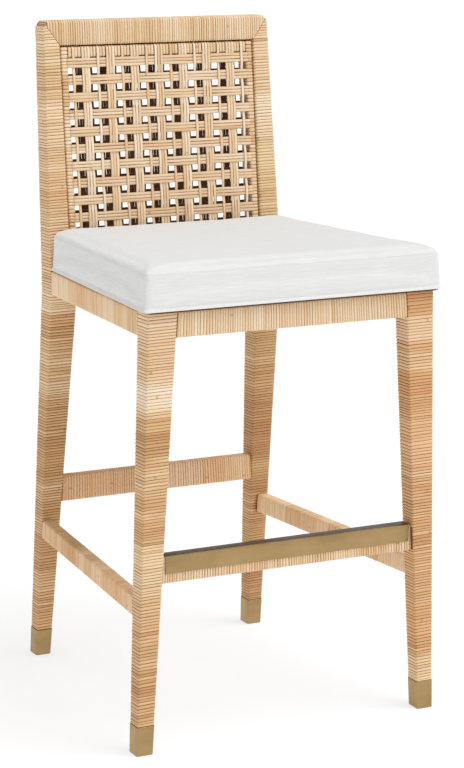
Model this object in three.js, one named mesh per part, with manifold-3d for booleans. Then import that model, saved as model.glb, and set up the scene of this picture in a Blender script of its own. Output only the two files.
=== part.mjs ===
// A bar stool with a footrest: a hardwood frame wound with rattan strand, an open woven back panel,
// a boxed upholstered seat, a brass-capped front stretcher and brass feet.
// Millimetres, +Z up, the front of the seat towards -Y. "left" is the -X side.
// The origin is on the floor, midway across the width and midway from front to back.
import * as THREE from "three";
import { mergeVertices } from "three/addons/utils/BufferGeometryUtils.js";
import Module from "manifold-3d";

const wasm = await Module();
wasm.setup();

// ---- driving dimensions; y is counted from the front face of the front rail -----------------
const GAP = 0.3; // clearance between pieces that touch
const ROUND_SIDES = 12; // sides of screws and glides
const PAST = 10; // how far a cutting tool runs past what it cuts
const CLEAR = 6; // how far a cut across an upright runs past its sides
const EDGE = { upright: 3.2, crosspiece: 4, panel: 3, plate: 1.6, tenon: 1, sharp: 0.8 }; // radii
const WRAP = 2.2; // thickness of the rattan strand
const HALF_DEPTH = 284.9; // from the front rail's face to the middle of the stool
const RAIL_TOP = 699;
const RAIL_BOTTOM = 658.5;
const RAIL_THICKNESS = 25;
const SEAT_FALL = 0.0105; // the seat falls towards the back, height per depth
const RAKE = 0.096; // the back leans, depth per height
const CREST_TOP = 1104;
const CREST_HEIGHT = 41;
const CREST_RADIUS = 10;
const FERRULE_TOP = 47.5;
const FERRULE = { proud: 0.5, wall: 1.3 }; // stands proud of the rattan above it

const FRONT_LEG = {
  outerTop: 247, outerFloor: 265.8, widthTop: 49.2, widthFloor: 28,
  frontTop: 0, frontFloor: 14.6, depthTop: 42.5, depthFloor: 30,
};
const POST = {
  kneeLow: 654, kneeHigh: 694, outerFloor: 220.2, outerSeat: 216, outerTop: 207,
  widthFloor: 27, widthKnee: 48.4, innerAbove: 178.4,
  frontFloor: 550.4, frontSeat: 466.2, depthFloor: 30.7, depthSeat: 45, depthTop: 39.5,
};
// Rails and stretchers: low and high edge, thickness, and how far the outer face stands in from the legs'.
const RAIL = { low: RAIL_BOTTOM, high: RAIL_TOP, thickness: RAIL_THICKNESS, inset: 0.4 };
const FOOTREST = { low: 272, high: 315.8, thickness: 17.4, inset: 7.5 };
const BACK_STRETCHER = { low: 283, high: 329, thickness: 19.7, inset: 1.4 };
const SIDE_STRETCHER = { low: 219, high: 252.5, thickness: 21.5, inset: 0.6 };
const PLATE = { wall: 1.5, drop: 29, end: 6 };
const TENON = { length: 12, thickness: 8, shoulder: 7 };
const SEAT = {
  overhang: 8.5, backHalfWidth: 216, back: 462, corner: 10, top: 767, edge: 12,
  cloth: 1.5, deck: 12, deckInset: 2.2, weltOut: 3, weltHeight: 4.6,
};
const DUST_COVER = { inset: 37, corner: 76, thickness: 0.8 };
const BLOCK = { reach: 84, low: 664, high: 697.6, clear: 1.2 };
const SCREW = {
  shank: 2, head: 4.2, headHeight: 2.6, bite: 8, low: 661,
  front: { inward: 51, y: 50.5 }, back: { inward: 43, y: 451 },
};
const GLIDE = { radius: 8.5, height: 3.6, stem: 2.5, stemTop: 16 };
const PANEL = {
  groove: 1.6, recess: 2.5, depth: 35, stile: 12.5, rail: 18, low: 695.6, high: 1060.8,
};
const SPACER = { from: 13, to: 21 }; // a strip in the groove round the panel, in its depth
const WEAVE = { strand: 2.4, single: 5.2, triple: 15.8, halfPitch: 22.2, columns: 15, rows: 12 };

// ---- materials ------------------------------------------------------------------------------
const paint = (color, roughness, metalness = 0) =>
  new THREE.MeshStandardMaterial({ color, roughness, metalness });
const RATTAN = paint(0xe0b888, 0.6);
const HARDWOOD = paint(0xb98d5e, 0.7);
const BRASS = paint(0xa58c5c, 0.32, 1);
const CLOTH = paint(0xe2e2e1, 0.95);
const FOAM = paint(0xf0e6c0, 0.95);
const PLYWOOD = paint(0xcaa878, 0.8);
const CAMBRIC = paint(0x26262a, 0.95);
const STEEL = paint(0x9b9ba0, 0.35, 1);
const NYLON = paint(0x3a3531, 0.6);

// ---- solids ---------------------------------------------------------------------------------
const mix = (from, to, t) => from + (to - from) * t;
const stay = () => {};
const fallWithSeat = (p) => {
  p.z -= SEAT_FALL * p.y;
};
const leanWithBack = (p) => {
  p.y += RAKE * (p.z - RAIL_TOP);
};

function solidOf(geometry) {
  const bare = new THREE.BufferGeometry();
  bare.setAttribute("position", geometry.getAttribute("position"));
  bare.setIndex(geometry.index);
  const merged = mergeVertices(bare, 1e-4);
  return new wasm.Manifold(
    new wasm.Mesh({
      numProp: 3,
      vertProperties: merged.attributes.position.array,
      triVerts: new Uint32Array(merged.index.array),
    }),
  );
}

function geometryOf(solid) {
  const made = solid.getMesh();
  const geometry = new THREE.BufferGeometry();
  geometry.setAttribute("position", new THREE.BufferAttribute(made.vertProperties, 3));
  geometry.setIndex(new THREE.BufferAttribute(made.triVerts, 1));
  const flat = geometry.toNonIndexed();
  flat.computeVertexNormals();
  return flat;
}

const join = (solids) => solids.reduce((all, one) => all.add(one));
const cut = (solid, tools) => tools.reduce((left, tool) => left.subtract(tool), solid);

// A closed skin through convex rings of equal length, capped at both ends.
function loft(rings, warp = stay) {
  const count = rings[0].length;
  const points = rings.flat().map((point) => point.clone());
  points.forEach(warp);
  const index = [];
  for (let r = 0; r + 1 < rings.length; r++) {
    for (let i = 0; i < count; i++) {
      const a = r * count + i;
      const b = r * count + ((i + 1) % count);
      index.push(a, b, b + count, a, b + count, a + count);
    }
  }
  const last = (rings.length - 1) * count;
  for (let i = 1; i + 1 < count; i++) {
    index.push(0, i + 1, i, last, last + i, last + i + 1);
  }
  const geometry = new THREE.BufferGeometry().setFromPoints(points);
  geometry.setIndex(index);
  return solidOf(geometry);
}

// Where a section's two directions point for a bar that runs along each axis.
const PLACE = {
  x: (at, a, b) => new THREE.Vector3(at, a, b),
  y: (at, a, b) => new THREE.Vector3(b, at, a),
  z: (at, a, b) => new THREE.Vector3(a, b, at),
};

function roundedSection([a0, a1], [b0, b1], radius) {
  const shape = new THREE.Shape();
  shape.absarc(a1 - radius, b0 + radius, radius, -Math.PI / 2, 0);
  shape.absarc(a1 - radius, b1 - radius, radius, 0, Math.PI / 2);
  shape.absarc(a0 + radius, b1 - radius, radius, Math.PI / 2, Math.PI);
  shape.absarc(a0 + radius, b0 + radius, radius, Math.PI, 1.5 * Math.PI);
  return shape.getPoints(radius > 2 ? 2 : 1).slice(0, -1);
}

// A bar with rounded edges through stations { at, a: [low, high], b: [low, high] } along an axis.
function bar(axis, stations, { grow = 0, reach = 0, radius = EDGE.panel, warp = stay } = {}) {
  const edge = Math.max(radius + grow, EDGE.sharp);
  const last = stations.length - 1;
  const rings = stations.map(({ at, a, b }, i) => {
    const along = at + (i === 0 ? -reach : i === last ? reach : 0);
    const wide = [a[0] - grow, a[1] + grow];
    const tall = [b[0] - grow, b[1] + grow];
    return roundedSection(wide, tall, edge).map((p) => PLACE[axis](along, p.x, p.y));
  });
  return loft(rings, warp);
}

// A flat outline in plan, given its thickness between two heights.
function slab(outline, low, high, warp = stay) {
  const geometry = new THREE.ExtrudeGeometry(outline, {
    depth: high - low, bevelEnabled: false, curveSegments: 4,
  });
  geometry.translate(0, 0, low);
  return solidOf(warped(geometry, warp));
}

function warped(geometry, warp) {
  const position = geometry.getAttribute("position");
  const point = new THREE.Vector3();
  for (let i = 0; i < position.count; i++) {
    warp(point.fromBufferAttribute(position, i));
    position.setXYZ(i, point.x, point.y, point.z);
  }
  return geometry;
}

const hole = (r, low, high) => [[0, low], [r, low], [r, high], [0, high]];

// A round piece on a vertical axis, from pairs of radius and height.
function turned(profile, x, y, warp = stay) {
  const points = profile.map(([r, z]) => new THREE.Vector2(r, z));
  const geometry = new THREE.LatheGeometry(points, ROUND_SIDES);
  geometry.rotateX(Math.PI / 2);
  geometry.translate(x, y, 0);
  return solidOf(warped(geometry, warp));
}

// ---- the stool as a tree of named meshes ----------------------------------------------------
const stool = new THREE.Group();
const assembly = new THREE.Group();
assembly.position.set(0, -HALF_DEPTH, 0);
stool.add(assembly);

function add(name, solid, material) {
  const mesh = new THREE.Mesh(geometryOf(solid), material);
  mesh.name = name;
  assembly.add(mesh);
}

const [LEFT, RIGHT] = [-1, 1];
const SIDES = [["left", LEFT], ["right", RIGHT]];
const middleOf = (range) => (range[0] + range[1]) / 2;
const across = (side, inner, outer) => (side < 0 ? [-outer, -inner] : [inner, outer]);

// ---- uprights -------------------------------------------------------------------------------
function frontLegAt(side, z) {
  const t = (RAIL_TOP - z) / RAIL_TOP;
  const outer = mix(FRONT_LEG.outerTop, FRONT_LEG.outerFloor, t);
  const width = mix(FRONT_LEG.widthTop, FRONT_LEG.widthFloor, t);
  const front = mix(FRONT_LEG.frontTop, FRONT_LEG.frontFloor, t);
  const depth = mix(FRONT_LEG.depthTop, FRONT_LEG.depthFloor, t);
  return { at: z, a: across(side, outer - width, outer), b: [front, front + depth] };
}

// Below the seat the post splays back to the floor; above its knee it leans with the back.
function postAt(side, z) {
  if (z <= POST.kneeLow) {
    const t = (POST.kneeLow - z) / POST.kneeLow;
    const outer = mix(POST.outerSeat, POST.outerFloor, t);
    const width = mix(POST.widthKnee, POST.widthFloor, t);
    const front = mix(POST.frontSeat, POST.frontFloor, t);
    const depth = mix(POST.depthSeat, POST.depthFloor, t);
    return { at: z, a: across(side, outer - width, outer), b: [front, front + depth] };
  }
  const t = Math.max(0, (z - POST.kneeHigh) / (CREST_TOP - POST.kneeHigh));
  const outer = mix(POST.outerSeat, POST.outerTop, t);
  const front = POST.frontSeat + RAKE * Math.max(0, z - RAIL_TOP);
  const depth = mix(POST.depthSeat, POST.depthTop, t);
  return { at: z, a: across(side, POST.innerAbove, outer), b: [front, front + depth] };
}

const FRONT_HEIGHTS = [0, RAIL_TOP - 0.6]; // a little under the falling seat
const POST_HEIGHTS = [0, POST.kneeLow, POST.kneeHigh, CREST_TOP];
const upright = (profile, side, heights, low, options) => {
  const kept = [low, ...heights.filter((z) => z > low)];
  return bar("z", kept.map((z) => profile(side, z)), options);
};
const CORE = -(WRAP + GAP);

// ---- crosspieces: each is a straight bar that runs into the middle of an upright at each end --
function crosspiece(axis, ends, warp) {
  return {
    axis,
    body: (grow) => bar(axis, ends, { grow, radius: EDGE.crosspiece, warp }),
    // A thinner stretch that passes through the whole length and shows only as tenons.
    tongue: (grow) => {
      const slim = ends.map(({ at, a, b }) => {
        const [flat, tall] = axis === "y" ? [b, a] : [a, b];
        const middle = middleOf(flat);
        const half = TENON.thickness / 2;
        const thin = [middle - half, middle + half];
        const short = [tall[0] + TENON.shoulder, tall[1] - TENON.shoulder];
        return axis === "y" ? { at, a: short, b: thin } : { at, a: thin, b: short };
      });
      return bar(axis, slim, { grow, radius: EDGE.tenon, warp });
    },
  };
}

// Runs left to right between two uprights, at a height and a thickness.
function betweenSides(profile, { low, high, thickness, inset }, warp = stay) {
  const middle = middleOf([low, high]);
  const ends = SIDES.map(([, side]) => {
    const leg = profile(side, middle);
    const front = leg.b[0] + inset;
    const depthInLeg = side < 0 ? leg.a[1] - TENON.length - WRAP : leg.a[0] + TENON.length + WRAP;
    return { at: depthInLeg, a: [front, front + thickness], b: [low, high] };
  });
  return crosspiece("x", ends, warp);
}

// Runs front to back on one side, its outer face in line with the outsides of both uprights.
function alongSide(side, { low, high, thickness, inset }, warp = stay) {
  const middle = middleOf([low, high]);
  const front = frontLegAt(side, middle);
  const back = postAt(side, middle);
  const outerOf = (leg) => Math.max(Math.abs(leg.a[0]), Math.abs(leg.a[1])) - inset;
  const frontEnd = front.b[1] - TENON.length - WRAP;
  const backEnd = back.b[0] + TENON.length + WRAP;
  const run = back.b[0] - front.b[1];
  const slope = (outerOf(back) - outerOf(front)) / run;
  return crosspiece("y", [frontEnd, backEnd].map((at) => {
    const outer = outerOf(front) + slope * (at - front.b[1]);
    return { at, a: [low, high], b: across(side, outer - thickness, outer) };
  }), warp);
}

const legs = SIDES.flatMap(([word, side]) => [
  { name: "front_leg_" + word, side, profile: frontLegAt, heights: FRONT_HEIGHTS, joints: [] },
  { name: "back_post_" + word, side, profile: postAt, heights: POST_HEIGHTS, joints: [] },
]);
const legNamed = (name) => legs.find((leg) => leg.name === name);
const pairOf = (stem) => [legNamed(stem + "_left"), legNamed(stem + "_right")];
const sideOf = (word) => [legNamed("front_leg_" + word), legNamed("back_post_" + word)];

const crosspieces = [
  {
    name: "seat_rail_front", between: pairOf("front_leg"),
    piece: betweenSides(frontLegAt, RAIL, fallWithSeat),
  },
  {
    name: "seat_rail_back", between: pairOf("back_post"),
    piece: betweenSides(postAt, { ...RAIL, high: RAIL_TOP - GAP }, fallWithSeat),
  },
  {
    name: "footrest_stretcher", between: pairOf("front_leg"),
    piece: betweenSides(frontLegAt, FOOTREST),
  },
  {
    name: "back_stretcher", between: pairOf("back_post"),
    piece: betweenSides(postAt, BACK_STRETCHER),
  },
  ...SIDES.flatMap(([word, side]) => [
    {
      name: "seat_rail_" + word, between: sideOf(word),
      piece: alongSide(side, RAIL, fallWithSeat),
    },
    {
      name: word + "_stretcher", between: sideOf(word),
      piece: alongSide(side, SIDE_STRETCHER),
    },
  ]),
];

// The rattan sleeve stops at the sleeves of the uprights; the wood goes through to a shoulder on
// the upright's wood, and its tenon goes into a mortise there.
const widened = (station, axis) => {
  const key = axis === "y" ? "a" : "b";
  const [low, high] = station[key];
  return { ...station, [key]: [low - CLEAR, high + CLEAR] };
};
const block = (leg, axis, heights, grow) =>
  bar("z", heights.map((z) => {
    const inside = Math.min(Math.max(z, 0), CREST_TOP);
    return widened({ ...leg.profile(leg.side, inside), at: z }, axis);
  }), { grow, radius: EDGE.tenon });

for (const { name, between, piece } of crosspieces) {
  const tall = (leg) => [-PAST, ...leg.heights.slice(1, -1), leg.heights.at(-1) + PAST];
  const outsides = between.map((leg) => block(leg, piece.axis, tall(leg), GAP));
  const woods = between.map((leg) => block(leg, piece.axis, tall(leg), CORE + GAP));
  const sleeve = cut(piece.body(0), [piece.body(-WRAP), ...outsides]);
  const core = cut(piece.body(CORE), woods).add(piece.tongue(0));
  add(name, core, HARDWOOD);
  add(name + "_wrap", sleeve, RATTAN);
  between.forEach((leg) => leg.joints.push(piece));
}

// ---- the mitred crest -----------------------------------------------------------------------
const crestLow = CREST_TOP - CREST_HEIGHT;
const crestFront = POST.frontSeat;
const outerAtTop = POST.outerTop;

// A cutting tool that runs right through the back from front to rear, from its outline seen from
// the front.
function prismAcross(points) {
  const depth = POST.frontFloor - POST.frontSeat;
  const geometry = new THREE.ExtrudeGeometry(new THREE.Shape(points), {
    depth: 2 * depth, bevelEnabled: false,
  });
  geometry.rotateX(Math.PI / 2);
  geometry.translate(0, POST.frontSeat + 2 * depth, 0);
  return solidOf(geometry);
}

// The mitre runs from the inner corner under the crest to the stool's outer top corner.
function mitre(side, inside) {
  const run = outerAtTop - POST.innerAbove;
  const shift = inside ? GAP / 2 : -GAP / 2;
  const far = (inside ? -3 : 3) * CREST_HEIGHT;
  const low = [POST.innerAbove - run + shift, crestLow - CREST_HEIGHT];
  const high = [outerAtTop + run + shift, CREST_TOP + CREST_HEIGHT];
  const outline = [low, high, [low[0] + far + (inside ? 0 : run), high[1]], [low[0] + far, low[1]]];
  const points = outline.map(([x, z]) => new THREE.Vector2(side * x, z));
  const turnsLeft = inside === side > 0;
  return prismAcross(turnsLeft ? points : points.reverse());
}

function roundedCorner(side, grow) {
  const radius = CREST_RADIUS + grow;
  const centre = [outerAtTop - CREST_RADIUS, CREST_TOP - CREST_RADIUS];
  const arc = [];
  const steps = 5;
  for (let i = 0; i <= steps; i++) {
    const angle = (Math.PI / 2) * (i / steps);
    arc.push([centre[0] + radius * Math.cos(angle), centre[1] + radius * Math.sin(angle)]);
  }
  const [outX, outZ] = [outerAtTop + PAST, CREST_TOP + PAST];
  const outline = [...arc, [centre[0], outZ], [outX, outZ], [outX, centre[1]]];
  const points = outline.map(([x, z]) => new THREE.Vector2(side * x, z));
  return prismAcross(side > 0 ? points.reverse() : points);
}

const crestBar = (grow, reach) => bar("x", [LEFT, RIGHT].map((side) => ({
  at: side * outerAtTop,
  a: [crestFront, crestFront + POST.depthTop],
  b: [crestLow, CREST_TOP],
})), { grow, reach, radius: EDGE.crosspiece, warp: leanWithBack });

const crestCuts = (grow) =>
  SIDES.flatMap(([, side]) => [mitre(side, false), roundedCorner(side, grow)]);
add("crest_rail", cut(crestBar(CORE, CORE), crestCuts(CORE)), HARDWOOD);
add("crest_rail_wrap", cut(cut(crestBar(0, 0), crestCuts(0)), [crestBar(-WRAP, PAST)]), RATTAN);

for (const leg of legs) {
  const { name, side, profile, heights, joints } = leg;
  const isPost = profile === postAt;
  const trims = (grow) => (isPost ? [mitre(side, true), roundedCorner(side, grow)] : []);
  const foot = profile(side, GLIDE.height);
  const [footX, footY] = [middleOf(foot.a), middleOf(foot.b)];
  const { radius, height, stem, stemTop } = GLIDE;
  const stemHole = turned(hole(stem + GAP, 0, stemTop + GAP), footX, footY);
  const mortises = joints.map((piece) => piece.tongue(GAP));
  const windows = joints.map((piece) => piece.body(CORE + GAP));
  const member = (low, grow) => upright(profile, side, heights, low, { grow, radius: EDGE.upright });
  const wood = member(height + GAP, CORE);
  add(name, cut(wood, [...trims(CORE), ...mortises, stemHole]), HARDWOOD);
  const skin = member(FERRULE_TOP + GAP, 0);
  const hollow = member(FERRULE_TOP - PAST, -WRAP);
  add(name + "_wrap", cut(cut(skin, trims(0)), [hollow, ...windows]), RATTAN);

  const word = name.replace("_leg", "").replace("_post", "");
  const shell = [GAP, FERRULE_TOP].map((z) => profile(side, z));
  const cup = (grow) => bar("z", shell, { grow, radius: EDGE.crosspiece });
  add(word + "_ferrule", cup(FERRULE.proud).subtract(cup(FERRULE.proud - FERRULE.wall)), BRASS);
  add(word + "_glide", turned(
    [[0, 0], [radius - 1, 0], [radius, 1], [radius, height], [stem, height], [stem, stemTop], [0, stemTop]],
    footX, footY,
  ), NYLON);
}

// ---- brass cap over the front stretcher -----------------------------------------------------
{
  const middle = (FOOTREST.low + FOOTREST.high) / 2;
  const leg = frontLegAt(RIGHT, middle);
  const half = leg.a[0] - PLATE.end;
  const front = leg.b[0] + FOOTREST.inset;
  const back = front + FOOTREST.thickness;
  const room = (extra, low) => bar("x", [-half, half].map((at) => ({
    at, a: [front - extra, back + extra], b: [low, FOOTREST.high + extra],
  })), { radius: EDGE.plate });
  const low = FOOTREST.high + PLATE.wall + GAP - PLATE.drop;
  add("footrest_plate", room(PLATE.wall + GAP, low).subtract(room(GAP, low - PAST)), BRASS);
}

// ---- woven back panel -----------------------------------------------------------------------
const panelFront = POST.frontSeat + PANEL.recess;
const panelDepth = [panelFront, panelFront + PANEL.depth];
const panelHalf = POST.innerAbove - PANEL.groove;
const openHalf = panelHalf - PANEL.stile;

function panelPiece(name, axis, ends) {
  const shape = (grow) => bar(axis, ends, { grow, radius: EDGE.panel, warp: leanWithBack });
  add(name, shape(CORE), HARDWOOD);
  add(name + "_wrap", shape(0).subtract(shape(-WRAP)), RATTAN);
}
for (const [word, side] of SIDES) {
  panelPiece("panel_stile_" + word, "z", [PANEL.low, PANEL.high].map((at) => ({
    at, a: across(side, openHalf, panelHalf), b: panelDepth,
  })));
}
const panelRails = [["bottom", PANEL.low], ["top", PANEL.high - PANEL.rail]];
for (const [word, low] of panelRails) {
  panelPiece("panel_rail_" + word, "x", [LEFT, RIGHT].map((side) => ({
    at: side * (openHalf - GAP), a: panelDepth, b: [low, low + PANEL.rail],
  })));
}

// The strip that fills the groove between the panel and the posts and crest.
{
  const depth = [panelFront + SPACER.from, panelFront + SPACER.to];
  const outer = POST.innerAbove - GAP;
  const inner = panelHalf + GAP;
  const top = crestLow - GAP;
  const lintel = plank([-outer, outer], depth, [PANEL.high + GAP, top]);
  const uprights = [[-outer, -inner], [inner, outer]].map((x) => plank(x, depth, [PANEL.low, top]));
  const strip = solidOf(warped(geometryOf(join([lintel, ...uprights])), leanWithBack));
  add("panel_spacer", strip, HARDWOOD);
}

// Each layer is a lattice: uprights that are one strand or three strands wide in turn, crossed by
// rows three strands wide.
function lattice(front) {
  const depth = [front, front + WEAVE.strand];
  const low = PANEL.low + PANEL.rail + GAP;
  const high = PANEL.high - PANEL.rail - GAP;
  const strips = [];
  for (let i = 0; i < WEAVE.columns; i++) {
    const x = (i - (WEAVE.columns - 1) / 2) * WEAVE.halfPitch;
    const half = (i % 2 ? WEAVE.triple : WEAVE.single) / 2;
    strips.push(plank([x - half, x + half], depth, [low, high]));
  }
  const margin = 0.5; // above the top row and under the bottom one
  const pitch = (high - low - WEAVE.triple - 2 * margin) / (WEAVE.rows - 1);
  for (let i = 0; i < WEAVE.rows; i++) {
    const z = low + margin + i * pitch;
    strips.push(plank([GAP - openHalf, openHalf - GAP], depth, [z, z + WEAVE.triple]));
  }
  return solidOf(warped(geometryOf(join(strips)), leanWithBack));
}

function plank([x0, x1], [y0, y1], [z0, z1]) {
  const geometry = new THREE.BoxGeometry(x1 - x0, y1 - y0, z1 - z0);
  geometry.translate((x0 + x1) / 2, (y0 + y1) / 2, (z0 + z1) / 2);
  return solidOf(geometry);
}
add("weave_front", lattice(panelDepth[0]), RATTAN);
add("weave_back", lattice(panelDepth[1] - WEAVE.strand), RATTAN);

// ---- seat -----------------------------------------------------------------------------------
const seatHalfAt = (y) => mix(FRONT_LEG.outerTop + SEAT.overhang, SEAT.backHalfWidth, y / SEAT.back);

// The seat's outline in plan, drawn in by an inset, as one ring of points at a height.
function seatRing(inset, z, corner = SEAT.corner - inset) {
  const radius = Math.max(corner, 2);
  const front = -SEAT.overhang + inset;
  const back = SEAT.back - inset;
  const shape = new THREE.Shape();
  const plan = [[LEFT, front], [RIGHT, front], [RIGHT, back], [LEFT, back]];
  const points = plan.map(([side, y]) => new THREE.Vector2(side * (seatHalfAt(y) - inset), y));
  points.forEach((corner, i) => {
    const towards = (other) => other.clone().sub(corner).setLength(radius).add(corner);
    const enter = towards(points[(i + 3) % 4]);
    const leave = towards(points[(i + 1) % 4]);
    if (i === 0) shape.moveTo(enter.x, enter.y);
    else shape.lineTo(enter.x, enter.y);
    shape.quadraticCurveTo(corner.x, corner.y, leave.x, leave.y);
  });
  return shape.getPoints(4).map((p) => new THREE.Vector3(p.x, p.y, z));
}
const seatSolid = (levels) => loft(levels.map((level) => seatRing(...level)), fallWithSeat);

const seatLow = RAIL_TOP + GAP;
const deckHigh = seatLow + SEAT.deck;
const { cloth, edge, top, deckInset, weltOut, weltHeight } = SEAT;
const screwSpots = SIDES.flatMap(([word, side]) => [
  { word: "front_" + word, side, ...SCREW.front },
  { word: "back_" + word, side, ...SCREW.back },
]);
const spotX = ({ side, inward, y }) => side * (railOuterAt(y) - inward);
const railOuterAt = (y) => mix(FRONT_LEG.outerTop, POST.outerSeat, y / POST.frontSeat);
const screwHoles = screwSpots.map((spot) => turned(
  hole(SCREW.shank + GAP, SCREW.low - PAST, seatLow + SCREW.bite + GAP),
  spotX(spot), spot.y, fallWithSeat,
));

add("seat_deck", cut(seatSolid([[deckInset, seatLow], [deckInset, deckHigh]]), screwHoles), PLYWOOD);
add("seat_foam", seatSolid([
  [deckInset, deckHigh + GAP], [deckInset, top - edge], [deckInset + edge - cloth, top - cloth - GAP],
]), FOAM);
const coverOutside = seatSolid([
  [0, seatLow], [0, top - edge], [edge * 0.3, top - edge * 0.3], [edge, top],
]);
const coverInside = seatSolid([
  [cloth, seatLow - 1], [cloth, top - edge], [edge, top - cloth],
]);
add("seat_cover", coverOutside.subtract(coverInside), CLOTH);
const weltRing = (inset, past) =>
  seatSolid([[inset, seatLow - past], [inset, seatLow + weltHeight + past]]);
add("seat_welt", weltRing(-GAP - weltOut, 0).subtract(weltRing(-GAP, PAST)), CLOTH);
const { inset, corner, thickness } = DUST_COVER;
const clothUnder = [RAIL_TOP - thickness, RAIL_TOP].map((z) => [inset, z - GAP / 2, corner]);
add("dust_cover", cut(seatSolid(clothUnder), screwHoles), CAMBRIC);

// ---- corner blocks and the screws that hold the seat down -------------------------------------
// Outlines are in distances inward from the outside of the side rail and back from the front.
function cornerBlock(side, atFront) {
  const leg = frontLegAt(side, RAIL_BOTTOM);
  const innerX = Math.min(...leg.a.map(Math.abs));
  const legInner = FRONT_LEG.outerTop - innerX + BLOCK.clear;
  const near = RAIL_THICKNESS + BLOCK.clear;
  const legBack = FRONT_LEG.depthTop + BLOCK.clear;
  const end = POST.frontSeat - BLOCK.clear;
  const { reach } = BLOCK;
  const outline = atFront
    ? [[legInner, near], [reach, near], [near, reach], [near, legBack], [legInner, legBack]]
    : [[near, end], [near, end - (reach - near)], [reach, end]];
  const points = outline.map(([inward, y]) => new THREE.Vector2(side * (railOuterAt(y) - inward), y));
  return slab(new THREE.Shape(points), BLOCK.low, BLOCK.high, fallWithSeat);
}
const { shank, head, headHeight, bite, low: screwLow } = SCREW;
const screwProfile = [
  [0, screwLow], [head, screwLow], [head, screwLow + headHeight],
  [shank, screwLow + headHeight], [shank, seatLow + bite], [0, seatLow + bite],
];
for (const spot of screwSpots) {
  const atFront = spot.word.startsWith("front");
  add(spot.word + "_corner_block", cut(cornerBlock(spot.side, atFront), screwHoles), HARDWOOD);
  add(spot.word + "_seat_screw",
    turned(screwProfile, spotX(spot), spot.y, fallWithSeat), STEEL);
}

export default stool;
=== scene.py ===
"""Looks of the rattan-wrapped bar stool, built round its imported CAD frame.
Metres, +Z up, front towards -Y."""
import math

import bmesh
import bpy
import numpy as np
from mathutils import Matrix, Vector


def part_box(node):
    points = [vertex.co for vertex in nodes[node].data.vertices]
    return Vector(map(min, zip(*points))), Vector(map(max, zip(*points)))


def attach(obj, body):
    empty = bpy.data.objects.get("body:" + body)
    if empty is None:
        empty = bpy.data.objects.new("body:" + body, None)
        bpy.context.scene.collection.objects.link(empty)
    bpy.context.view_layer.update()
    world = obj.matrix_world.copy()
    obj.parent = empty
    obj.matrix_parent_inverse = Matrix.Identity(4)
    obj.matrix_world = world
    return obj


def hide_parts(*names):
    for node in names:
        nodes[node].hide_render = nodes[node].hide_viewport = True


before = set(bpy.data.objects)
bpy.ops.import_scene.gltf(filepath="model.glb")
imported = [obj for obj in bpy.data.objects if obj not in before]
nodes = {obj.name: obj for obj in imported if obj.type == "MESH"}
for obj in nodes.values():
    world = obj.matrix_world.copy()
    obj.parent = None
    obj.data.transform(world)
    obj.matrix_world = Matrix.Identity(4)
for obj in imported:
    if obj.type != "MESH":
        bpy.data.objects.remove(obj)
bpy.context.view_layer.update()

MM = 0.001
X, Y, Z = 0, 1, 2
SIDES = {"left": -1, "right": 1}
SLEEVE = 2.2 * MM  # thickness of the strand that is wound on the frame


# ---- outlines of CAD nodes -------------------------------------------------------------------
def coordinates(mesh):
    points = np.empty(len(mesh.vertices) * 3)
    mesh.vertices.foreach_get("co", points)
    return points.reshape(-1, 3)


def arrays_of(node):
    mesh = nodes[node].data
    edges = np.empty(len(mesh.edges) * 2, int)
    mesh.edges.foreach_get("vertices", edges)
    return coordinates(mesh), edges.reshape(-1, 2)


def section_box(a, b, axis, at):
    """The corners of the box round a section: a and b are the ends of the mesh's edges."""
    da, db = a[:, axis] - at, b[:, axis] - at
    hit = (da * db <= 0) & (np.abs(da - db) > 1e-9)
    t = da[hit] / (da[hit] - db[hit])
    p = a[hit] + (b[hit] - a[hit]) * t[:, None]
    return p.min(0), p.max(0)


def outline(node, axis, step=2 * MM, within=None):
    """The node's extent across an axis, measured at stations along it: (stations, lowest, highest)."""
    points, edges = arrays_of(node)
    a, b = points[edges[:, 0]], points[edges[:, 1]]
    low, high = points[:, axis].min(), points[:, axis].max()
    if within:
        low, high = low + within * (high - low), high - within * (high - low)
    margin = 0.05 * MM
    count = max(2, int((high - low) / step))
    at = np.linspace(low + margin, high - margin, count)
    lows, highs = np.empty((count, 3)), np.empty((count, 3))
    for i, station in enumerate(at):
        lows[i], highs[i] = section_box(a, b, axis, station)
    return at, lows, highs


def straightened(node, axis):
    """The outline of a straight tapering bar with slanted ends: its middle part, carried on both ways."""
    at, low, high = outline(node, axis, step=0.2, within=0.12)
    at, low, high = at[[0, -1]], low[[0, -1]], high[[0, -1]]
    reach = at[1] - at[0]
    slope = lambda v: (v[1] - v[0]) / reach
    ends = np.array([at[0] - reach, at[1] + reach])
    grown = [np.array([v[0] - slope(v) * reach, v[1] + slope(v) * reach]) for v in (low, high)]
    return ends, grown[0], grown[1]


def face_of(outlined, axis, high):
    """A function that gives, for a height, where an upright's low or high face is along an axis."""
    at, lows, highs = outlined
    values = (highs if high else lows)[:, axis]
    return lambda z: np.interp(z, at, values)


# ---- smooth random curves --------------------------------------------------------------------
def drift(rng, count, knots):
    """A smooth curve of `count` values about 0, with standard deviation near 1, through random knots."""
    knots = max(2, int(knots))
    values = rng.normal(size=knots + 3)
    t = np.linspace(0, knots - 1e-6, count)
    i = t.astype(int)
    f = (t - i)[:, None]
    p = np.stack([values[i], values[i + 1], values[np.minimum(i + 2, knots + 2)]], 1)
    w = np.concatenate([0.5 * (1 - f) ** 2, 0.5 + f * (1 - f), 0.5 * f**2], 1)
    return (p * w).sum(1) * 1.4


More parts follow.
